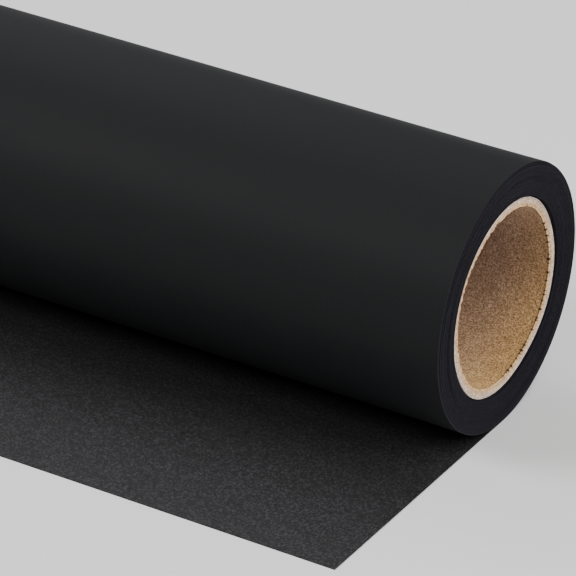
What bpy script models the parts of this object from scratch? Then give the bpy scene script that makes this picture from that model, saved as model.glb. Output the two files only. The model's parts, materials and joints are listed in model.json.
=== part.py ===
"""Backdrop paper roll: a wide web of matte black paper wound on a paperboard core, its free end laid flat.

Frame: +X along the roll's axis, -Y towards the free edge of the laid sheet, +Z up, in metres. The origin lies on
the surface that carries the roll, below the middle of the whole object's box.

The web is one continuous sheet. From its free edge it lies flat, meets the roll at the bottom, climbs the back,
goes over the top, comes down the front and spirals inward to the core. It is split where it moves: the laid sheet
stays on the floor, the outer turn travels with the roll, and the wound turns travel and spin with the core.
"""

import math

import bmesh
import bpy

# The paper web
WEB_WIDTH = 1.350
WEB_LENGTH = 11.0
LAID_LENGTH = 0.0995  # from the free edge to the line where the web meets the roll
PAPER_THICKNESS = 0.000236

# The core: paperboard plies glued one round the other
CORE_BORE_DIAMETER = 0.057
CORE_WALL = 0.00292
CORE_LENGTH = 1.348
CORE_PLIES = 6
PALE_PLIES = 4  # the outermost ones
GLUE_LINE = 0.00006

# The tapes that hold the web's inner end to the core
TAPE_COUNT = 3
TAPE_SPACING = 0.58
TAPE_WIDTH = 0.048
TAPE_ARC = math.radians(100)
TAPE_THICKNESS = 0.00012

# Clearances
TAPE_GAP = 0.0001  # between the core and a tape
COIL_INNER_GAP = 0.00034  # between the core and the first wound turn, where the tapes lie
COIL_OUTER_GAP = 0.00014  # between the outer turn and the turns that spin inside it
SHEET_GAP = 0.0003  # between the laid sheet and the outer turn

FACETS = 72
FACET = 2 * math.pi / FACETS
WELD = 1e-7

# Worked out from the sizes above
CORE_BORE_RADIUS = CORE_BORE_DIAMETER / 2
CORE_RADIUS = CORE_BORE_RADIUS + CORE_WALL
PLY_THICKNESS = (CORE_WALL - (CORE_PLIES - 1) * GLUE_LINE) / CORE_PLIES
WOUND_AREA = (WEB_LENGTH - LAID_LENGTH) * PAPER_THICKNESS
ROLL_RADIUS = math.sqrt(CORE_RADIUS**2 + WOUND_AREA / math.pi)
COIL_RADIUS = ROLL_RADIUS - 2 * PAPER_THICKNESS - COIL_OUTER_GAP
AXIS_HEIGHT = ROLL_RADIUS
BACK_REACH = ROLL_RADIUS - PAPER_THICKNESS / 4
AXIS_Y = (LAID_LENGTH - BACK_REACH) / 2

BLACK_PAPER = ("black_paper", (0.019, 0.020, 0.022), 0.82)
KRAFT_BOARD = ("kraft_board", (0.36, 0.22, 0.12), 0.88)
PALE_BOARD = ("pale_board", (0.52, 0.41, 0.32), 0.90)
CREAM_TAPE = ("cream_tape", (0.60, 0.50, 0.32), 0.60)


def clear_scene():
    for obj in list(bpy.data.objects):
        bpy.data.objects.remove(obj, do_unlink=True)


def add_collection(name):
    collection = bpy.data.collections.new(name)
    bpy.context.scene.collection.children.link(collection)
    return collection


def add_material(name, look):
    """Each piece has its own material, named for the piece and what it is made of."""
    substance, colour, roughness = look
    material = bpy.data.materials.new(f"{name}_{substance}")
    material.use_nodes = True
    shader = material.node_tree.nodes["Principled BSDF"]
    shader.inputs["Base Color"].default_value = (*colour, 1.0)
    shader.inputs["Roughness"].default_value = roughness
    shader.inputs["Metallic"].default_value = 0.0
    return material


def add_pivot(name, collection, parent=None):
    """An empty on the roll's axis, which the pieces of one moving body hang on."""
    pivot = bpy.data.objects.new(name, None)
    pivot.empty_display_size = ROLL_RADIUS
    collection.objects.link(pivot)
    if parent:
        pivot.parent = parent
    else:
        pivot.location = (0.0, AXIS_Y, AXIS_HEIGHT)
    return pivot


def place_mesh(name, source, look, collection, parent=None):
    """Turn a curve or a modified mesh object into a plain welded mesh of this name, at the same place."""
    bpy.context.view_layer.update()
    graph = bpy.context.evaluated_depsgraph_get()
    mesh = bpy.data.meshes.new_from_object(source.evaluated_get(graph))
    shape = bmesh.new()
    shape.from_mesh(mesh)
    bmesh.ops.remove_doubles(shape, verts=shape.verts, dist=WELD)
    bmesh.ops.recalc_face_normals(shape, faces=shape.faces)
    shape.to_mesh(mesh)
    shape.free()
    mesh.name = name
    mesh.shade_smooth()
    mesh.set_sharp_from_angle(angle=math.radians(30))
    mesh.materials.clear()
    mesh.materials.append(add_material(name, look))
    piece = bpy.data.objects.new(name, mesh)
    piece.location = source.location
    piece.rotation_euler = source.rotation_euler
    piece.parent = parent
    collection.objects.link(piece)
    bpy.data.objects.remove(source, do_unlink=True)
    return piece


def facet_angles(first, count):
    """Corner angles of facets in a row, from straight down towards the back, with a facet centred straight down."""
    return [(first + i - 0.5) * FACET for i in range(count + 1)]


def round_band(name, angles, outer_radius, thickness, width, look, collection, parent):
    """A thin band bent round the roll's axis. outer_radius(angle) is the distance to the flats of its outer face."""
    stretch = 1 / math.cos(FACET / 2)
    outer = [(a, outer_radius(a) * stretch) for a in angles]
    inner = [(a, (outer_radius(a) - thickness) * stretch) for a in reversed(angles)]
    outline = bpy.data.curves.new(name, "CURVE")
    outline.dimensions = "2D"
    outline.fill_mode = "BOTH"
    outline.extrude = width / 2
    spline = outline.splines.new("POLY")
    spline.points.add(len(outer) + len(inner) - 1)
    spline.use_cyclic_u = True
    for point, (angle, radius) in zip(spline.points, outer + inner):
        point.co = (radius * math.sin(angle), -radius * math.cos(angle), 0.0, 1.0)
    guide = bpy.data.objects.new(name + "_outline", outline)
    guide.rotation_euler = (math.pi / 2, 0.0, math.pi / 2)
    collection.objects.link(guide)
    return place_mesh(name, guide, look, collection, parent)


def tube(name, inner_radius, outer_radius, length, look, collection, parent):
    """A round tube along the roll's axis: a rectangular profile swept round it. The radii are those of the corners."""
    profile = bpy.data.meshes.new(name + "_profile")
    run = [
        (outer_radius, length / 2),
        (outer_radius, -length / 2),
        (inner_radius, -length / 2),
        (inner_radius, length / 2),
    ]
    # Half a facet round from straight down, so that the facets of all pieces line up.
    corners = [(r * math.cos(FACET / 2), r * math.sin(FACET / 2), z) for r, z in run]
    profile.from_pydata(corners, [(0, 1), (1, 2), (2, 3), (3, 0)], [])
    swept = bpy.data.objects.new(name + "_swept", profile)
    swept.rotation_euler = (0.0, math.pi / 2, 0.0)
    collection.objects.link(swept)
    screw = swept.modifiers.new("Screw", "SCREW")
    screw.axis = "Z"
    screw.angle = 2 * math.pi
    screw.steps = FACETS
    screw.render_steps = FACETS
    screw.use_merge_vertices = True
    screw.merge_threshold = 0.00001
    return place_mesh(name, swept, look, collection, parent)


def build_core(collection, spin):
    """Paperboard plies, each a tube glued round the last. The first is the liner of the bore."""
    for ply in range(CORE_PLIES):
        inner = CORE_BORE_RADIUS + ply * (PLY_THICKNESS + GLUE_LINE)
        if ply == 0:
            name = "core_liner"
        elif ply == CORE_PLIES - 1:
            name = "core_outer_ply"
        else:
            name = f"core_ply_{ply + 1}"
        look = PALE_BOARD if ply >= CORE_PLIES - PALE_PLIES else KRAFT_BOARD
        tube(name, inner, inner + PLY_THICKNESS, CORE_LENGTH, look, collection, spin)


def build_start_tapes(collection, spin):
    """Strips bent round the core, half on it and half on the web's inner end."""
    outer = CORE_RADIUS + TAPE_GAP + TAPE_THICKNESS
    angles = facet_angles(-round(TAPE_ARC / FACET / 2), round(TAPE_ARC / FACET))
    for i in range(TAPE_COUNT):
        tape = round_band(
            f"start_tape_{i + 1}", angles, lambda angle: outer, TAPE_THICKNESS, TAPE_WIDTH,
            CREAM_TAPE, collection, spin,
        )
        tape.location.x = (i - (TAPE_COUNT - 1) / 2) * TAPE_SPACING


def build_wound_turns(collection, spin):
    """All turns of the web inside the outer one, as one ring."""
    inner = CORE_RADIUS + COIL_INNER_GAP
    tube("wound_turns", inner, COIL_RADIUS, WEB_WIDTH, BLACK_PAPER, collection, spin)


def build_outer_turn(collection, travel):
    """The last turn of the web: it leaves the floor at the bottom and spirals in by its own thickness."""

    def outer_radius(angle):
        return ROLL_RADIUS - PAPER_THICKNESS * max(angle - FACET / 2, 0.0) / (2 * math.pi)

    angles = facet_angles(0, FACETS - 1)
    round_band(
        "outer_turn", angles, outer_radius, PAPER_THICKNESS, WEB_WIDTH, BLACK_PAPER, collection, travel
    )


def build_laid_sheet(collection):
    """The free end of the web, flat on the surface that carries the roll."""
    front = AXIS_Y - LAID_LENGTH
    back = AXIS_Y - ROLL_RADIUS * math.tan(FACET / 2) - SHEET_GAP
    outline = bpy.data.curves.new("laid_sheet", "CURVE")
    outline.dimensions = "2D"
    outline.fill_mode = "BOTH"
    outline.extrude = PAPER_THICKNESS / 2
    spline = outline.splines.new("POLY")
    spline.points.add(3)
    spline.use_cyclic_u = True
    half = WEB_WIDTH / 2
    corners = [(-half, front), (half, front), (half, back), (-half, back)]
    for point, (x, y) in zip(spline.points, corners):
        point.co = (x, y, 0.0, 1.0)
    guide = bpy.data.objects.new("laid_sheet_outline", outline)
    guide.location.z = PAPER_THICKNESS / 2
    collection.objects.link(guide)
    place_mesh("laid_sheet", guide, BLACK_PAPER, collection)


def main():
    clear_scene()
    parts = add_collection("backdrop_paper_roll")
    travel = add_pivot("roll_travel", parts)
    spin = add_pivot("roll_spin", parts, travel)
    build_core(parts, spin)
    build_start_tapes(parts, spin)
    build_wound_turns(parts, spin)
    build_outer_turn(parts, travel)
    build_laid_sheet(parts)


main()
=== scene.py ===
import json
import math

import bmesh
import bpy
import numpy as np
from mathutils import Matrix, Vector, noise


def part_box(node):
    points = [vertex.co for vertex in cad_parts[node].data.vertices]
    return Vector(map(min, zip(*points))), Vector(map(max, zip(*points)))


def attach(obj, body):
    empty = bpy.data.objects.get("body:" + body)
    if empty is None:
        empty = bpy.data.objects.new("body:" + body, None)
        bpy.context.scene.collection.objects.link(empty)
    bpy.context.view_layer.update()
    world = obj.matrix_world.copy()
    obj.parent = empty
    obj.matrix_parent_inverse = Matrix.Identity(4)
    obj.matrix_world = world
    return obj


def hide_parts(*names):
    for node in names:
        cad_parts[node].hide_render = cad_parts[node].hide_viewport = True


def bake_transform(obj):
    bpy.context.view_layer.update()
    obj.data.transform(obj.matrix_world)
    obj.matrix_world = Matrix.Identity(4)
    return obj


# The looks of a backdrop paper roll: a wide web of matte black paper wound on a paperboard core, with its
# free end laid flat in front. Lengths are in metres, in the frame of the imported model: +X along the roll,
# -Y towards the free edge of the laid sheet, +Z up.
#
# The web is one sheet. From its free edge it lies flat, meets the roll at the bottom, climbs the back, goes
# over the top, comes down the front and spirals inward to the core. A place on the wound part is given by
# its angle round the roll's axis, in radians from straight down towards the back, and by its number of
# turns in from the laid sheet.

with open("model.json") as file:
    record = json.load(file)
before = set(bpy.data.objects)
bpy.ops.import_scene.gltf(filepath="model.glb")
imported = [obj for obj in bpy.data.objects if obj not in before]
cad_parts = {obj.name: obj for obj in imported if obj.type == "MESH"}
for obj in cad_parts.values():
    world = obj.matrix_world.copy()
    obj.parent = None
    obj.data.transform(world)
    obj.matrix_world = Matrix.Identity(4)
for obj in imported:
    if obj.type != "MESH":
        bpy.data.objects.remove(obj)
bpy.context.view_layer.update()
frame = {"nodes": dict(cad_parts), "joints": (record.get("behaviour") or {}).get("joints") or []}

MM = 0.001
TURN = 2 * math.pi

# Places and sizes read from the frame
JOINTS = {joint["name"]: joint for joint in frame["joints"]}
AXIS = Vector(JOINTS["roll_spin"]["pos_m"])
SHEET_LOW, SHEET_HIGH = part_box("laid_sheet")
PAPER = SHEET_HIGH.z - SHEET_LOW.z
ROLL_RADIUS = AXIS.z
ROLL_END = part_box("outer_turn")[1].x - AXIS.x  # half the web's width
PLIES = ["core_liner", "core_ply_2", "core_ply_3", "core_ply_4", "core_ply_5", "core_outer_ply"]
KRAFT_PLIES = 2
TAPES = ["start_tape_1", "start_tape_2", "start_tape_3"]
CORE_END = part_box(PLIES[0])[1].x - AXIS.x
CORE_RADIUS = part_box(PLIES[-1])[1].z - AXIS.z
PLY_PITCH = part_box(PLIES[1])[1].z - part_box(PLIES[0])[1].z


def inner_radius(node):
    """Distance from the roll's axis to the nearest corners of a round piece."""
    mesh = frame["nodes"][node].data
    return min(math.hypot(v.co.y - AXIS.y, v.co.z - AXIS.z) for v in mesh.vertices)


BORE_RADIUS = inner_radius(PLIES[0])

SEGMENTS = 240  # round the roll
WHOLE_TURN = 0.996  # nearly, to leave a gap between its two ends

# The first step of the mesh at the web's side edges, and the growth from each step to the next
SHEET_STEPS = (1.5 * MM, 1.25)
OUTER_STEPS = (0.8 * MM, 1.35)
LOOSE_STEPS = (2.5 * MM, 1.9)

# The laid sheet
SHEET_ROWS = 90
WAVE_HEIGHT = 0.22 * MM
WAVE_ACROSS = 0.09
WAVE_ALONG = 0.06
WAVE_SEED = 3.7
HELD_FLAT = 0.03  # as far as this from the roll it has no waves, and over as much again they grow

# The wound paper
LOOSE_TURNS = 4  # these lie just inside the outer one
SLACK = 0.22 * MM  # how far the outer turn stands off at the top
SLACK_KEPT = 0.9  # turns in, from where the slack runs out
FLARE = 0.36 * MM  # how much more it stands off at the roll's ends
FLARE_LENGTH = 38 * MM
FLARE_START = math.radians(142)  # it begins on the back
FLARE_FULL = math.radians(160)
RIPPLE_HEIGHT = 0.05 * MM
RIPPLE_LENGTH = 0.11
RIPPLE_REACH = 1.3
WANDER = [  # waves of the web's edge: their number per turn, height in millimetres and start in radians
    (0.043, 0.060, 0.0),
    (0.37, 0.030, 2.4),
    (0.73, 0.034, 4.8),
    (1.31, 0.026, 7.2),
    (2.43, 0.016, 9.6),
    (3.71, 0.010, 12.0),
]
COIL_TURNS = 38
COIL_DEPTH = 20 * MM  # of the piece at each end that shows the turns' edges
COIL_GAP = 0.02 * MM  # between the loose turns and the ones inside them
MIDDLE_GAP = 0.1 * MM  # between the end pieces and the middle one
CORE_GAP = 0.34 * MM  # between the core and the first turn
EDGE_RELIEF = 0.16 * MM  # depth of the groove between two turns
EDGE_SECTION = [(0.05, 0.2), (0.45, 0.0), (0.86, 0.16), (0.97, 1.0)]  # in shares of the pitch and the relief
DISH = 0.46 * MM  # how far the turns next to the core lie behind the outer ones
DISH_CURVE = 1.4
DISH_UNEVEN = 0.1  # the share by which that varies round the core
DISH_DEEPEST = 0.875  # the angle where it is deepest, there and on the opposite side

# The core's cut ends
CORE_SEGMENTS = 960
PLY_STEPS = (0, 0.1, 0.22, 0.4, 0.65, 1.0, 1.5, 2.5, 6, 16, 50, 160, 400)  # from the end, in millimetres
PLY_SEED = 7.3 * MM  # from ply to ply, so that each is rough in its own places
CUT_BACK = 0.10 * MM  # how much shorter the core is than its nominal length, at each end
SAW_WAVES = [(1, 0.20, 2.85), (2, 0.09, 4.1), (3, 0.32, 4.46), (5, 0.07, 0.6), (7, 0.05, 1.4)]  # as WANDER
SAW_REACH = 6 * MM  # how far from the end the plies follow the saw
WORN_WIDTH = 0.98 * MM  # how far from the bore the cut edge is rounded
WORN_DEPTH = 0.20 * MM
WORN_CURVE = 1.2
WORN_REACH = 0.5 * MM  # and how far from the end
ROUGH_SIZES = [(0.7 * MM, 1.0), (0.33 * MM, 0.7)]  # of the torn fibres, and their strengths
ROUGH_REACH = 3 * MM  # how far from the end they are worked out
ROUGH_ALONG = 0.08 * MM
ROUGH_OUTWARD = 0.10 * MM
TORN_SHADE_FROM = math.radians(-12)  # the painted shade along the bore's torn rim runs from here
TORN_SHADE_TO = math.radians(158)
TORN_SHADE_FADE = 0.3
TORN_SHADE_PLACE = 0.42 * MM  # the painted shade line's distance from the cut, along the bore
TORN_SHADE_WIDTHS = (0.238 * MM, 0.544 * MM)  # between the notches and at them
TORN_SHADE_BETWEEN = 0.42  # how dark the painted shade is between the notches
NOTCH_SEED = 11
NOTCH_STRETCHES = [  # from and to, in degrees; spacing and depth, in millimetres
    (-12, 158, (0.7, 3.4), (0.02, 0.36)),
    (192, 266, (0.9, 3.2), (0.24, 0.70)),
    (280, 346, (1.2, 4.6), (0.05, 0.34)),
]
NOTCH_HALF_WIDTH = (0.12 * MM, 0.42 * MM)
NOTCH_SLOPE = 0.4  # how far they go back from the cut, as a share of their depth
NOTCH_REACH = 0.55 * MM  # how far from the bore they reach into the cut
NOTCH_SHADE_FULL = 0.25 * MM  # from this depth of notch the painted shade in it is full
CUT_BAND = 0.221 * MM  # how far along the bore the cut's colour goes
CUT_FADE = 0.17 * MM
DEEP = 27 * MM  # from this depth the bore's painted shade is at its darkest
TOP_SHADE = 0.6  # how much more painted shade the bore's top gets than its bottom, as a share of that

# Colours of the cut, from its shaded fibres to its lightest
CUT_KRAFT = [(0.38, (0.40, 0.22, 0.10)), (0.5, (0.93, 0.60, 0.32)), (0.60, (0.98, 0.84, 0.58))]
CUT_PALE = [(0.38, (0.44, 0.32, 0.24)), (0.5, (0.85, 0.65, 0.51)), (0.60, (0.98, 0.90, 0.80))]

# The camera: its place is given in roll radii, from the point under the roll's right end
VIEW_AZIMUTH = math.radians(30.418)
VIEW_ELEVATION = math.radians(28.967)
VIEW_ROLL = math.radians(1.359)
VIEW_DISTANCE = 33.02 * ROLL_RADIUS
AIM_ACROSS = -1.5234 * ROLL_RADIUS
AIM_UP = 0.9543 * ROLL_RADIUS
LENS = 289.4  # and the sensor, in millimetres
SENSOR = 36.0

# The studio
FLOOR_REACH = 12.0
FLOOR_DROP = 0.05 * MM  # how far the floor lies below the sheet
FLOOR_TONE = 0.94
SKY_LIGHT = 0.08
LIT_PLACE = Vector((0.62, 0.0, 0.03))
LIGHT_DISTANCE = 1.6
SOFTBOX_SIZE = 0.7
SOFTBOXES = [  # rise and lean, in degrees, and power, in watts
    (26, -35, 1.5),
    (58, -35, 4.0),
    (76, -35, 3.0),
    (72, 25, 2.6),
    (72, 55, 3.8),
    (92, 25, 8.8),
    (92, 55, 9.4),
    (130, -35, 16.0),
    (120, 55, 2.2),
]


# Meshes


def add_piece(name, vertices, faces, material, crease_degrees=40):
    """A mesh object of these vertices and faces."""
    return finish_piece(name, new_mesh(name, vertices, faces), material, crease_degrees)


def new_mesh(name, vertices, faces):
    mesh = bpy.data.meshes.new(name)
    mesh.from_pydata([tuple(v) for v in vertices], [], [tuple(int(i) for i in f) for f in faces])
    return mesh


def finish_piece(name, mesh, material, crease_degrees):
    """An object of this mesh, with its normals pointing out and its sharp edges marked."""
    shape = bmesh.new()
    shape.from_mesh(mesh)
    bmesh.ops.recalc_face_normals(shape, faces=shape.faces)
    shape.to_mesh(mesh)
    shape.free()
    mesh.shade_smooth()
    mesh.set_sharp_from_angle(angle=math.radians(crease_degrees))
    mesh.materials.append(material)
    piece = bpy.data.objects.new(name, mesh)
    bpy.context.scene.collection.objects.link(piece)
    return piece


def grid_quads(rows, columns, first=0):
    """The quads of a grid of vertices, numbered row by row from first."""
    r, c = np.meshgrid(np.arange(rows - 1), np.arange(columns - 1), indexing="ij")
    a = first + r * columns + c
    return np.stack([a, a + 1, a + columns + 1, a + columns], -1).reshape(-1, 4)


def thin_solid(top, bottom):
    """Vertices and faces of a closed sheet, from two grids of points of one shape (rows, columns, 3)."""
    rows, columns = top.shape[:2]
    count = rows * columns
    index = np.arange(count).reshape(rows, columns)
    rim = np.concatenate([index[0, :-1], index[:-1, -1], index[-1, :0:-1], index[:0:-1, 0]])
    after = np.roll(rim, -1)
    sides = np.stack([rim, after, after + count, rim + count], -1)
    faces = np.concatenate([grid_quads(rows, columns), grid_quads(rows, columns, count)[:, ::-1], sides])
    return np.concatenate([top.reshape(-1, 3), bottom.reshape(-1, 3)]), faces


def end_steps(half, first, growth):
    """Distances from the middle to one end and back again in steps that shrink towards both ends."""
    steps = [0.0]
    step = first
    while steps[-1] + step < half:
        steps.append(steps[-1] + step)
        step *= growth
    inner = [half - s for s in steps]
    return np.array([-x for x in inner] + inner[::-1])


def ripple(x, angle):
    """Smooth unevenness from -1 to 1, along the roll and round it."""
    across = RIPPLE_REACH * math.cos(angle)
    up = RIPPLE_REACH * math.sin(angle)
    return noise.noise(Vector((x / RIPPLE_LENGTH, across, up)))


# The web


def stray(turns):
    """How far the web's edge strays along the roll's axis, for a place so many turns in."""
    total = np.zeros_like(turns)
    for frequency, height, start in WANDER:
        total += height * MM * np.sin(TURN * frequency * turns + start)
    return total


def with_stray_edge(x, turns):
    """Distances from the middle of the web's width, moved as its edge strays. The web moves less and less
    away from the edge, and not at all from half-way in."""
    share = np.clip((np.abs(x) / ROLL_END - 0.5) * 2, 0, 1)
    return x + np.sign(x) * stray(turns) * share


def smooth_step(value, low, high):
    """0 up to low, 1 from high, and smooth between."""
    share = np.clip((value - low) / (high - low), 0, 1)
    return share * share * (3 - 2 * share)


def slack_at(x, angle):
    """How far the outer turn stands off the ones inside. It can't where it rests on the floor."""
    around = np.mod(angle, TURN)
    near_end = np.clip((np.abs(x) - ROLL_END + FLARE_LENGTH) / FLARE_LENGTH, 0, 1)
    off_floor = np.clip((1 - np.cos(around)) / 2, 0, 1)
    flare = FLARE * near_end**2 * smooth_step(around, FLARE_START, FLARE_FULL) * off_floor
    return SLACK * off_floor + flare


def wound_sheet(name, first_turn, last_turn, inner_limit, xs, material):
    """A stretch of the wound web as a closed sheet, from one number of turns to another. Its slack runs out
    at the last loose turn, whose inner face keeps to inner_limit."""
    count = round((last_turn - first_turn) * SEGMENTS) + 1
    turns = np.linspace(first_turn, last_turn, count)
    t, x = np.meshgrid(turns, xs, indexing="ij")
    x = with_stray_edge(x, t)
    angle = t * TURN
    uneven = [ripple(a, b) for a, b in zip(x.ravel(), angle.ravel())]
    uneven = np.array(uneven).reshape(x.shape)
    off_floor = (1 - np.cos(angle)) / 2
    share = np.clip(1 - np.maximum(t - SLACK_KEPT, 0) / LOOSE_TURNS, 0, 1)
    stand_off = slack_at(x, angle) + RIPPLE_HEIGHT * uneven * off_floor
    outer = ROLL_RADIUS - PAPER * t + share * stand_off
    inner = np.where(t > LOOSE_TURNS, inner_limit, outer - PAPER)
    layers = []
    for radius in (outer, inner):
        y = AXIS.y + radius * np.sin(angle)
        z = AXIS.z - radius * np.cos(angle)
        layers.append(np.stack([AXIS.x + x, y, z], -1))
    vertices, faces = thin_solid(*layers)
    return add_piece(name, vertices, faces, material)


def build_outer_turn(material):
    xs = end_steps(ROLL_END, *OUTER_STEPS)
    return wound_sheet("outer_paper_turn", 0.0, WHOLE_TURN, 0.0, xs, material)


def build_loose_turns(material):
    """The turns just inside the outer one."""
    xs = end_steps(ROLL_END, *LOOSE_STEPS)
    inner_limit = coil_radii()[0] + COIL_GAP
    return wound_sheet("loose_paper_turns", 1.0, LOOSE_TURNS + WHOLE_TURN, inner_limit, xs, material)


def coil_radii():
    """Outer and inner radius of the wound turns' end pieces."""
    return ROLL_RADIUS - (LOOSE_TURNS + 2) * PAPER - COIL_GAP, CORE_RADIUS + CORE_GAP


def build_coil_end(name, side, material):
    """The edges of the inner turns at one end of the roll: a long spiral with a groove between turns."""
    outer, inner = coil_radii()
    pitch = (outer - inner) / COIL_TURNS
    rows = (COIL_TURNS - 1) * len(EDGE_SECTION) + 1
    row = np.arange(rows)[:, None]
    column = np.arange(SEGMENTS)[None, :]
    turn = row // len(EDGE_SECTION) + column / SEGMENTS
    across, relief = (np.array(values)[row % len(EDGE_SECTION)] for values in zip(*EDGE_SECTION))
    inward = turn + across
    # The outermost edge is round, to turn freely
    radius = np.where(row == 0, outer, outer - pitch * inward)
    angle = column / SEGMENTS * TURN + 0 * row
    dish = DISH * (1 + DISH_UNEVEN * np.cos(2 * (angle - DISH_DEEPEST)))
    sunk = relief * EDGE_RELIEF + dish * (inward / COIL_TURNS) ** DISH_CURVE
    x = ROLL_END + stray(turn + 1 + LOOSE_TURNS) - sunk
    points = np.stack(
        [AXIS.x + side * x, AXIS.y + radius * np.sin(angle), AXIS.z - radius * np.cos(angle)], -1
    ).reshape(-1, 3)
    index = np.arange(rows * SEGMENTS).reshape(rows, SEGMENTS)
    faces = [grid_quads(rows, SEGMENTS)]
    # After a full turn the spiral goes on one turn further in
    last = index[: rows - len(EDGE_SECTION), -1]
    ahead = index[len(EDGE_SECTION) :, 0]
    faces.append(np.stack([last[:-1], ahead[:-1], ahead[1:], last[1:]], -1))
    mesh = new_mesh(name, points, np.concatenate(faces))
    close_behind(mesh, AXIS.x + side * (ROLL_END - COIL_DEPTH))
    return finish_piece(name, mesh, material, crease_degrees=50)


def close_behind(mesh, back):
    """Makes an open ring-shaped surface a closed body, with walls from its two edges to x = back."""
    shape = bmesh.new()
    shape.from_mesh(mesh)
    unused = [vertex for vertex in shape.verts if not vertex.link_faces]
    bmesh.ops.delete(shape, geom=unused, context="VERTS")
    rim = [edge for edge in shape.edges if edge.is_boundary]
    walls = bmesh.ops.extrude_edge_only(shape, edges=rim)["geom"]
    for vertex in (v for v in walls if isinstance(v, bmesh.types.BMVert)):
        vertex.co.x = back
    bmesh.ops.bridge_loops(shape, edges=[edge for edge in shape.edges if edge.is_boundary])
    shape.to_mesh(mesh)
    shape.free()


def build_coil_middle(material):
    """The body of the wound turns between the two end pieces, hidden inside the roll."""
    outer, _ = coil_radii()
    inner = inner_radius("wound_turns")
    half = ROLL_END - COIL_DEPTH - MIDDLE_GAP
    section = [(outer, -half), (outer, 0.0), (outer, half), (inner, half), (inner, 0.0), (inner, -half)]
    points, faces = ring(section, SEGMENTS)
    return add_piece("wound_paper_middle", points, faces, material)


def ring(section, segments, shift=None):
    """Vertices and faces of a body swept once round the axis from a closed section of (radius, x).
    shift(radius, x, angle) gives how far each point moves outward and along +X."""
    radius, x = (np.array(values)[None, :] for values in zip(*section))
    angle = (np.arange(segments) / segments * TURN)[:, None]
    radius, x, angle = np.broadcast_arrays(radius, x, angle)
    if shift:
        outward, along = shift(radius, x, angle)
        radius, x = radius + outward, x + along
    points = np.stack([AXIS.x + x, AXIS.y + radius * np.sin(angle), AXIS.z - radius * np.cos(angle)], -1)
    index = np.arange(points.shape[0] * points.shape[1]).reshape(points.shape[:2])
    right = np.roll(index, -1, 0)
    faces = np.stack([index, right, np.roll(right, -1, 1), np.roll(index, -1, 1)], -1).reshape(-1, 4)
    return points.reshape(-1, 3), faces


def build_laid_paper(material):
    """The free end of the web, flat on the floor as far as the line where it meets the roll."""
    xs = end_steps(ROLL_END, *SHEET_STEPS)
    ys = np.linspace(SHEET_LOW.y, AXIS.y, SHEET_ROWS)
    y, x = np.meshgrid(ys, xs, indexing="ij")
    lift = np.zeros(x.shape)
    for i in np.ndindex(x.shape):
        wave = noise.noise(Vector((x[i] / WAVE_ACROSS, y[i] / WAVE_ALONG, WAVE_SEED)))
        grown = min(1.0, max(0.0, (AXIS.y - y[i]) / HELD_FLAT - 1))
        lift[i] = WAVE_HEIGHT * max(0.0, wave) * grown
    x = with_stray_edge(x, (SHEET_LOW.y - y) / (TURN * ROLL_RADIUS))
    bottom = np.stack([AXIS.x + x, y, lift], -1)
    top = bottom + np.array([0, 0, PAPER])
    vertices, faces = thin_solid(top, bottom)
    return add_piece("laid_paper", vertices, faces, material)


# The core


def make_notches():
    """Places along the bore's rim where the saw has torn it: (angle, half width, depth) for each."""
    rng = np.random.default_rng(NOTCH_SEED)
    notches = []
    for start, end, spacing, depths in NOTCH_STRETCHES:
        angle = math.radians(start)
        while angle < math.radians(end):
            notches.append((angle, rng.uniform(*NOTCH_HALF_WIDTH), rng.uniform(*depths) * MM))
            angle += rng.uniform(*spacing) * MM / BORE_RADIUS
    return notches


def notch_depth(angle):
    """Depth of the bore's torn rim at these angles."""
    depth = np.zeros(angle.shape)
    for place, half_width, deepest in NOTCHES:
        arc = (np.mod(angle - place + math.pi, TURN) - math.pi) * BORE_RADIUS
        depth = np.maximum(depth, deepest * np.exp(-((arc / half_width) ** 2)))
    return depth


def end_wobble(angle):
    """How far the core's cut end stands out or in: the saw's cut isn't flat."""
    total = np.zeros(angle.shape)
    for count, height, start in SAW_WAVES:
        total += height * MM * np.sin(count * angle + start)
    return total


def worn_edge(radius, x, angle, seed):
    """How far the points of a ply move outward and along +X. The core's cut ends are rounded towards the
    bore, rough with torn fibres, and notched along the bore."""
    side = np.sign(x)
    from_end = CORE_END - np.abs(x)
    rough = np.zeros(radius.shape)
    for i in np.ndindex(radius.shape):
        if from_end[i] < ROUGH_REACH:
            place = Vector((math.sin(angle[i]) * radius[i], math.cos(angle[i]) * radius[i], seed + x[i]))
            rough[i] = sum(strength * noise.noise(place / size) for size, strength in ROUGH_SIZES)
    worn = np.clip(1 - (radius - BORE_RADIUS) / WORN_WIDTH, 0, 1)
    at_end = np.exp(-from_end / WORN_REACH)
    near_end = np.exp(-from_end / SAW_REACH)
    torn = notch_depth(angle) * np.exp(-(((radius - BORE_RADIUS) / NOTCH_REACH) ** 2))
    back = WORN_DEPTH * worn**WORN_CURVE + ROUGH_ALONG * rough * (0.5 + worn) + NOTCH_SLOPE * torn
    along = side * ((end_wobble(angle) - CUT_BACK) * near_end - at_end * back)
    outward = at_end * (ROUGH_OUTWARD * rough * worn + torn)
    return outward, along


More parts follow.
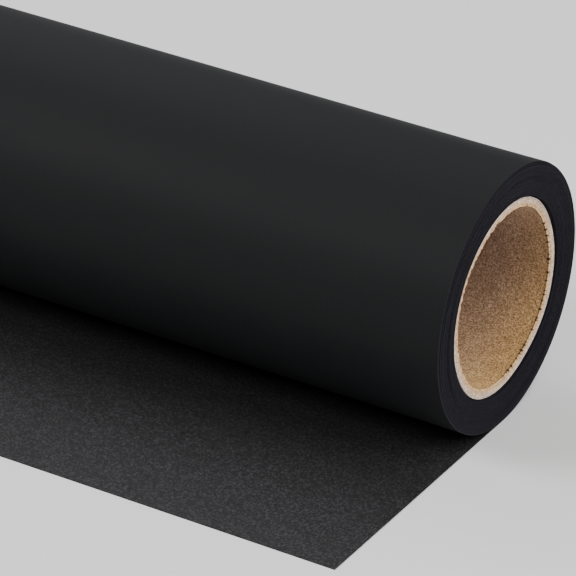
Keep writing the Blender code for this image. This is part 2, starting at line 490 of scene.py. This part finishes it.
def build_ply(node, name, material, seed):
    """One ply of the core. Its attributes tell where the painted shade of its torn rim lies, where it is
    cut, how near the bore a point of the wall is, and how much painted shade it gets deep in the bore and
    towards the bore's top."""
    low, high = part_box(node)
    inner = inner_radius(node)
    outer = (high.z - low.z) / 2
    from_middle = [CORE_END - step * MM for step in PLY_STEPS]
    xs = np.array([-x for x in from_middle] + [0.0] + from_middle[::-1])
    thirds = [inner + (outer - inner) * k / 3 for k in (1, 2)]
    section = [(inner, x) for x in xs]
    section += [(radius, CORE_END) for radius in thirds]
    section += [(outer, x) for x in xs[::-1]]
    section += [(radius, -CORE_END) for radius in thirds[::-1]]
    # The plies that are worn have finer detail
    segments = CORE_SEGMENTS if inner < BORE_RADIUS + WORN_WIDTH else CORE_SEGMENTS // 2
    points, faces = ring(section, segments, lambda r, x, a: worn_edge(r, x, a, seed))
    piece = add_piece(name, points, faces, material, crease_degrees=60)
    radius, x = (np.tile(values, segments) for values in zip(*section))
    angle = np.repeat(np.arange(segments) / segments * TURN, len(section))
    from_end = CORE_END - np.abs(x)
    # Painted shade along the bore's torn rim and in its notches.
    store(piece, "torn", torn_rim_shade(radius, angle, from_end))
    store(piece, "cut", np.clip((CUT_BAND - from_end) / CUT_FADE, 0, 1))
    store(piece, "inner", 1 - (radius - BORE_RADIUS) / (PLY_PITCH * len(PLIES)))
    # Painted shade in the bore: darker deeper in and towards its top.
    store(piece, "depth", np.clip(from_end / DEEP + TOP_SHADE * (1 - np.cos(angle)) / 2, 0, 1))
    return piece


def torn_rim_shade(radius, angle, from_end):
    """How dark the painted shade along the bore's torn rim and in its notches is at these points, from 0 to
    1.
    """
    around = np.mod(angle - TORN_SHADE_FROM, TURN) + TORN_SHADE_FROM
    begun = smooth_step(around, TORN_SHADE_FROM, TORN_SHADE_FROM + TORN_SHADE_FADE)
    ended = smooth_step(around, TORN_SHADE_TO - TORN_SHADE_FADE, TORN_SHADE_TO)
    notched = np.clip(notch_depth(angle) / NOTCH_SHADE_FULL, 0, 1)
    between = begun * (1 - ended) * (TORN_SHADE_BETWEEN + (1 - TORN_SHADE_BETWEEN) * notched)
    width = TORN_SHADE_WIDTHS[0] + (TORN_SHADE_WIDTHS[1] - TORN_SHADE_WIDTHS[0]) * notched
    line = np.maximum(between, notched) * np.exp(-(((from_end - TORN_SHADE_PLACE) / width) ** 2))
    on_cut = notched * (from_end < TORN_SHADE_PLACE)
    return np.maximum(line, on_cut) * np.exp(-(((radius - BORE_RADIUS) / NOTCH_REACH) ** 2))


def store(piece, name, values):
    """Keep a number at each of a piece's points, for its material."""
    attribute = piece.data.attributes.new(name, "FLOAT", "POINT")
    attribute.data.foreach_set("value", values.astype(np.float32))


# Materials


class Finish:
    """A material and its node tree, with a short call for each kind of node used here."""

    def __init__(self, name):
        self.material = bpy.data.materials.new(name)
        self.material.use_nodes = True
        self.tree = self.material.node_tree
        self.shader = self.tree.nodes["Principled BSDF"]
        self.place = self.add("ShaderNodeTexCoord").outputs["Object"]

    def add(self, kind, **settings):
        node = self.tree.nodes.new(kind)
        for name, value in settings.items():
            setattr(node, name, value)
        return node

    def feed(self, socket, value):
        """Link a socket to another, or set it to a constant."""
        if isinstance(value, bpy.types.NodeSocket):
            self.tree.links.new(value, socket)
        else:
            socket.default_value = value

    def vector(self, operation, a, b=(0.0, 0.0, 0.0), output="Vector"):
        node = self.add("ShaderNodeVectorMath", operation=operation)
        self.feed(node.inputs[0], a)
        self.feed(node.inputs[1], b)
        return node.outputs[output]

    def noise(self, size, detail=3.0, roughness=0.55, place=None, distortion=0.0):
        """Noise with features of about this size, in metres."""
        node = self.add("ShaderNodeTexNoise")
        self.feed(node.inputs["Vector"], place or self.place)
        self.feed(node.inputs["Scale"], 1 / size)
        self.feed(node.inputs["Detail"], detail)
        self.feed(node.inputs["Roughness"], roughness)
        self.feed(node.inputs["Distortion"], distortion)
        return node.outputs["Fac"]

    def ramp(self, factor, stops):
        """A colour or, with grey stops, a number, from stops of (position, value)."""
        node = self.add("ShaderNodeValToRGB")
        self.feed(node.inputs["Fac"], factor)
        elements = node.color_ramp.elements
        while len(elements) < len(stops):
            elements.new(0.5)
        for element, (position, value) in zip(elements, stops):
            element.position = position
            element.color = (*value, 1.0) if isinstance(value, tuple) else (value, value, value, 1.0)
        return node.outputs["Color"]

    def mix(self, factor, a, b, blend="MIX"):
        node = self.add("ShaderNodeMix", data_type="RGBA", blend_type=blend)
        self.feed(node.inputs[0], factor)
        self.feed(node.inputs[6], a)
        self.feed(node.inputs[7], b)
        return node.outputs[2]

    def tint(self, a, b):
        """One colour multiplied by another."""
        return self.mix(1.0, a, b, "MULTIPLY")

    def calc(self, operation, a, b):
        node = self.add("ShaderNodeMath", operation=operation)
        self.feed(node.inputs[0], a)
        self.feed(node.inputs[1], b)
        return node.outputs[0]

    def attribute(self, name):
        """A number kept at the mesh's points."""
        return self.add("ShaderNodeAttribute", attribute_name=name).outputs["Fac"]

    def specks(self, spacing, radius, share):
        """1 in round specks of this radius, about this far apart, and only in a share of their places."""
        node = self.add("ShaderNodeTexVoronoi")
        self.feed(node.inputs["Vector"], self.place)
        self.feed(node.inputs["Scale"], 1 / spacing)
        near = self.calc("LESS_THAN", node.outputs["Distance"], radius / spacing)
        parts = self.add("ShaderNodeSeparateColor")
        self.feed(parts.inputs[0], node.outputs["Color"])
        chosen = self.calc("LESS_THAN", parts.outputs[0], share)
        return self.calc("MULTIPLY", near, chosen)

    def bump(self, height, depth, strength):
        node = self.add("ShaderNodeBump")
        self.feed(node.inputs["Height"], height)
        self.feed(node.inputs["Distance"], depth)
        self.feed(node.inputs["Strength"], strength)
        return node.outputs["Normal"]

    def finish(self, colour, roughness, normal, specular):
        """The material, with these fed to its shader."""
        self.shader.inputs["Diffuse Roughness"].default_value = 1.0
        self.feed(self.shader.inputs["Base Color"], colour)
        self.feed(self.shader.inputs["Roughness"], roughness)
        self.feed(self.shader.inputs["Normal"], normal)
        self.shader.inputs["Specular IOR Level"].default_value = specular
        return self.material


def rgb(*values):
    return (*values, 1.0)


def black_paper_face():
    """The paper's smooth outer face."""
    f = Finish("black_paper_face")
    cloud = f.noise(16 * MM, 4.0)
    grain = f.noise(0.5 * MM, 2.0, 0.6)
    tone = f.ramp(cloud, [(0.3, (0.0090, 0.0096, 0.0106)), (0.7, (0.0108, 0.0114, 0.0125))])
    tone = f.mix(f.ramp(grain, [(0.35, 0.0), (0.65, 0.25)]), tone, rgb(0.0210, 0.0218, 0.0230))
    tone = f.mix(f.specks(11 * MM, 0.25 * MM, 0.12), tone, rgb(0.09, 0.09, 0.085))
    roughness = f.ramp(cloud, [(0.3, 0.60), (0.7, 0.64)])
    return f.finish(tone, roughness, f.bump(grain, 0.03 * MM, 0.5), 0.16)


def black_paper_back():
    """The paper's inner face, rougher and more fibrous. It is darker towards the roll: painted shade,
    standing in for the roll's shadow on the sheet.
    """
    f = Finish("black_paper_back")
    cloud = f.noise(9 * MM, 5.0)
    grain = f.noise(0.72 * MM, 4.0, 0.8)
    stops = [
        (0.37, (0.0022, 0.0018, 0.0028)),
        (0.50, (0.0148, 0.0136, 0.0156)),
        (0.61, (0.0700, 0.0640, 0.0710)),
    ]
    tone = f.ramp(grain, stops)
    tone = f.mix(f.ramp(cloud, [(0.35, 0.0), (0.75, 0.3)]), tone, rgb(0.0115, 0.0107, 0.0121))
    place = f.add("ShaderNodeSeparateXYZ")
    f.feed(place.inputs[0], f.place)
    from_edge = f.calc("SUBTRACT", place.outputs["Y"], SHEET_LOW.y)
    inward = f.calc("DIVIDE", from_edge, AXIS.y - SHEET_LOW.y)
    # Painted shade: the tone darkens from the free edge towards the roll, in place of the roll's shadow.
    tone = f.tint(tone, f.ramp(inward, [(0.0, 0.92), (0.25, 0.78), (0.5, 0.46), (0.8, 0.40)]))
    return f.finish(tone, 0.67, f.bump(grain, 0.10 * MM, 0.9), 0.50)


def black_paper_edges():
    """The cut edges of the turns, each a little lighter or darker than the next."""
    f = Finish("black_paper_edges")
    away = f.vector("MULTIPLY", f.vector("SUBTRACT", f.place, tuple(AXIS)), (0.0, 1.0, 1.0))
    radius = f.vector("LENGTH", away, output="Value")
    wave = f.noise(40 * MM, 1.0)
    streak = f.add("ShaderNodeCombineXYZ")
    f.feed(streak.inputs[0], f.calc("MULTIPLY", radius, 1 / (0.5 * MM)))
    f.feed(streak.inputs[1], f.calc("MULTIPLY", wave, 6.0))
    bands = f.noise(1.0, 3.0, 0.7, place=streak.outputs[0])
    fibre = f.noise(0.5 * MM, 3.0, 0.7)
    stops = [
        (0.30, (0.0060, 0.0053, 0.0082)),
        (0.55, (0.0094, 0.0085, 0.0126)),
        (0.75, (0.0142, 0.0130, 0.0188)),
    ]
    tone = f.ramp(bands, stops)
    tone = f.mix(f.ramp(fibre, [(0.40, 0.0), (0.66, 0.7)]), tone, rgb(0.0260, 0.0240, 0.0320))
    return f.finish(tone, 0.85, f.bump(fibre, 0.05 * MM, 0.8), 0.10)


def paint_torn_rim_shade(f, tone, colour):
    """The tone of a ply, turned to this colour along the bore's torn rim and in its notches: painted shade.
    """
    return f.mix(f.ramp(f.attribute("torn"), [(0.10, 0.0), (0.55, 0.95)]), tone, colour)


def kraft_board():
    """Brown recycled board, mottled and fibrous, with painted shade deep in the bore and towards its top,
    and golden near the open end.
    """
    f = Finish("kraft_board")
    blotch = f.noise(5 * MM, 4.0)
    fibre = f.noise(0.55 * MM, 4.0, 0.8)
    stops = [
        (0.37, (0.20, 0.110, 0.056)),
        (0.50, (0.54, 0.350, 0.196)),
        (0.63, (0.96, 0.750, 0.490)),
    ]
    tone = f.ramp(fibre, stops)
    tone = f.mix(f.ramp(blotch, [(0.35, 0.0), (0.7, 0.35)]), tone, rgb(0.32, 0.19, 0.10))
    # Painted shade: golden near the bore's open end, darker and bluer deep in and at the top.
    painted_bore_shade = f.ramp(f.attribute("depth"), [(0.1, (1.0, 0.92, 0.66)), (0.9, (0.82, 0.80, 0.94))])
    tone = f.tint(tone, painted_bore_shade)
    tone = f.mix(f.specks(9 * MM, 0.45 * MM, 0.15), tone, rgb(0.03, 0.022, 0.018))
    tone = f.mix(f.attribute("cut"), tone, f.ramp(fibre, CUT_KRAFT))
    # Painted shade along the torn rim and in the notches.
    tone = paint_torn_rim_shade(f, tone, rgb(0.035, 0.016, 0.008))
    return f.finish(tone, 0.9, f.bump(fibre, 0.12 * MM, 0.8), 0.15)


def cut_board(name, stops):
    """The cut edge of a ply, with torn fibres standing up. It is browner towards the bore."""
    f = Finish(name)
    fibre = f.noise(0.6 * MM, 3.0, 0.75, distortion=0.8)
    blotch = f.noise(2.4 * MM, 3.0)
    tone = f.ramp(fibre, stops)
    tone = f.mix(f.ramp(blotch, [(0.38, 0.0), (0.72, 0.45)]), tone, rgb(*stops[0][1]))
    browning = [(0.05, (0.92, 0.93, 0.98)), (0.25, (1.0, 1.0, 1.0)), (0.62, (1.0, 0.90, 0.74))]
    tone = f.tint(tone, f.ramp(f.attribute("inner"), browning))
    # Painted shade along the torn rim and in the notches.
    tone = paint_torn_rim_shade(f, tone, rgb(0.05, 0.022, 0.010))
    return f.finish(tone, 0.92, f.bump(fibre, 0.10 * MM, 0.9), 0.15)


def masking_tape():
    """Creped paper tape: fine ridges across its length."""
    f = Finish("masking_tape")
    crepe = f.noise(0.9 * MM, 2.0, place=f.vector("MULTIPLY", f.place, (2.5, 0.5, 0.5)))
    tone = f.ramp(crepe, [(0.3, (0.50, 0.41, 0.25)), (0.7, (0.66, 0.56, 0.37))])
    return f.finish(tone, 0.6, f.bump(crepe, 0.08 * MM, 0.8), 0.35)


# The studio


def build_floor():
    """A plain pale floor."""
    corners = [(-1, -1), (1, -1), (1, 1), (-1, 1)]
    points = [(FLOOR_REACH * x, FLOOR_REACH * y, -FLOOR_DROP) for x, y in corners]
    mesh = new_mesh("floor", points, [(0, 1, 2, 3)])
    floor = bpy.data.objects.new("floor", mesh)
    bpy.context.scene.collection.objects.link(floor)
    material = bpy.data.materials.new("pale_floor")
    material.use_nodes = True
    shader = material.node_tree.nodes["Principled BSDF"]
    shader.inputs["Base Color"].default_value = rgb(FLOOR_TONE, FLOOR_TONE, FLOOR_TONE)
    shader.inputs["Roughness"].default_value = 0.9
    shader.inputs["Specular IOR Level"].default_value = 0.1
    mesh.materials.append(material)


def build_sky():
    """A little even light from all round, under the softboxes."""
    world = bpy.data.worlds.new("studio")
    world.use_nodes = True
    background = world.node_tree.nodes["Background"]
    background.inputs["Color"].default_value = rgb(1.0, 1.0, 1.0)
    background.inputs["Strength"].default_value = SKY_LIGHT
    bpy.context.scene.world = world


def add_softbox(name, rise, lean, power):
    """A softbox facing the roll's right end. It stands at rise degrees over the roll, from the floor behind
    it to the floor in front, and leans by so many degrees towards the right."""
    rise = math.radians(rise)
    lean = math.radians(lean)
    outward = Vector((math.sin(lean), math.cos(lean) * math.cos(rise), math.cos(lean) * math.sin(rise)))
    across = Vector((math.cos(lean), -math.sin(lean) * math.cos(rise), -math.sin(lean) * math.sin(rise)))
    light = bpy.data.lights.new(name, "AREA")
    light.shape = "SQUARE"
    light.size = SOFTBOX_SIZE
    light.energy = power
    box = bpy.data.objects.new(name, light)
    box.matrix_world = Matrix((across, outward.cross(across), outward)).transposed().to_4x4()
    box.location = LIT_PLACE + LIGHT_DISTANCE * outward
    bpy.context.scene.collection.objects.link(box)


def build_lights():
    for i, (rise, lean, power) in enumerate(SOFTBOXES):
        add_softbox(f"softbox_{i + 1}", rise, lean, power)


def build_camera():
    """The camera looks down at the roll's right end from the front."""
    back = Vector(
        (
            math.sin(VIEW_AZIMUTH) * math.cos(VIEW_ELEVATION),
            -math.cos(VIEW_AZIMUTH) * math.cos(VIEW_ELEVATION),
            math.sin(VIEW_ELEVATION),
        )
    )
    level = Vector((math.cos(VIEW_AZIMUTH), math.sin(VIEW_AZIMUTH), 0.0))
    upright = back.cross(level)
    across = math.cos(VIEW_ROLL) * level + math.sin(VIEW_ROLL) * upright
    up = math.cos(VIEW_ROLL) * upright - math.sin(VIEW_ROLL) * level
    under_end = Vector((AXIS.x + ROLL_END, AXIS.y, 0.0))
    data = bpy.data.cameras.new("camera")
    data.lens = LENS
    data.sensor_width = SENSOR
    data.clip_start = 0.05
    data.clip_end = 100.0
    camera = bpy.data.objects.new("camera", data)
    camera.matrix_world = Matrix((across, up, back)).transposed().to_4x4()
    camera.location = under_end + AIM_ACROSS * across + AIM_UP * up + VIEW_DISTANCE * back
    bpy.context.scene.collection.objects.link(camera)
    bpy.context.scene.camera = camera


def build_web():
    """The pieces of the web: the laid sheet, the outer turn, the loose turns and the wound ones."""
    face = black_paper_face()
    edges = black_paper_edges()
    back = black_paper_back()
    laid = build_laid_paper(back)
    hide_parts("laid_sheet")
    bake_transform(laid)
    outer = build_outer_turn(face)
    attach(outer, "web_wrap")
    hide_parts("outer_turn")
    loose = build_loose_turns(edges)
    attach(loose, "web_wrap")
    coil = [
        build_coil_end("wound_paper_right_end", 1, edges),
        build_coil_end("wound_paper_left_end", -1, edges),
        build_coil_middle(edges),
    ]
    for piece in coil:
        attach(piece, "roll")
        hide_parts("wound_turns")


def build_core():
    """The plies. The cut shows two bands: the kraft ones by the bore, and the paler ones."""
    liner = kraft_board()
    kraft = cut_board("cut_kraft_board", CUT_KRAFT)
    pale = cut_board("cut_pale_board", CUT_PALE)
    for i, node in enumerate(PLIES):
        is_kraft = i < KRAFT_PLIES
        cut = kraft if is_kraft else pale
        material = liner if i == 0 else cut
        ply = build_ply(node, node.replace("core_", "board_"), material, i * PLY_SEED)
        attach(ply, "roll")
        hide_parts(node)


def build_tapes():
    """The tapes keep the CAD's shapes, with a look of their own."""
    material = masking_tape()
    for node in TAPES:
        frame["nodes"][node].material_slots[0].material = material


NOTCHES = make_notches()
build_camera()
build_floor()
build_sky()
build_lights()
build_web()
build_core()
build_tapes()
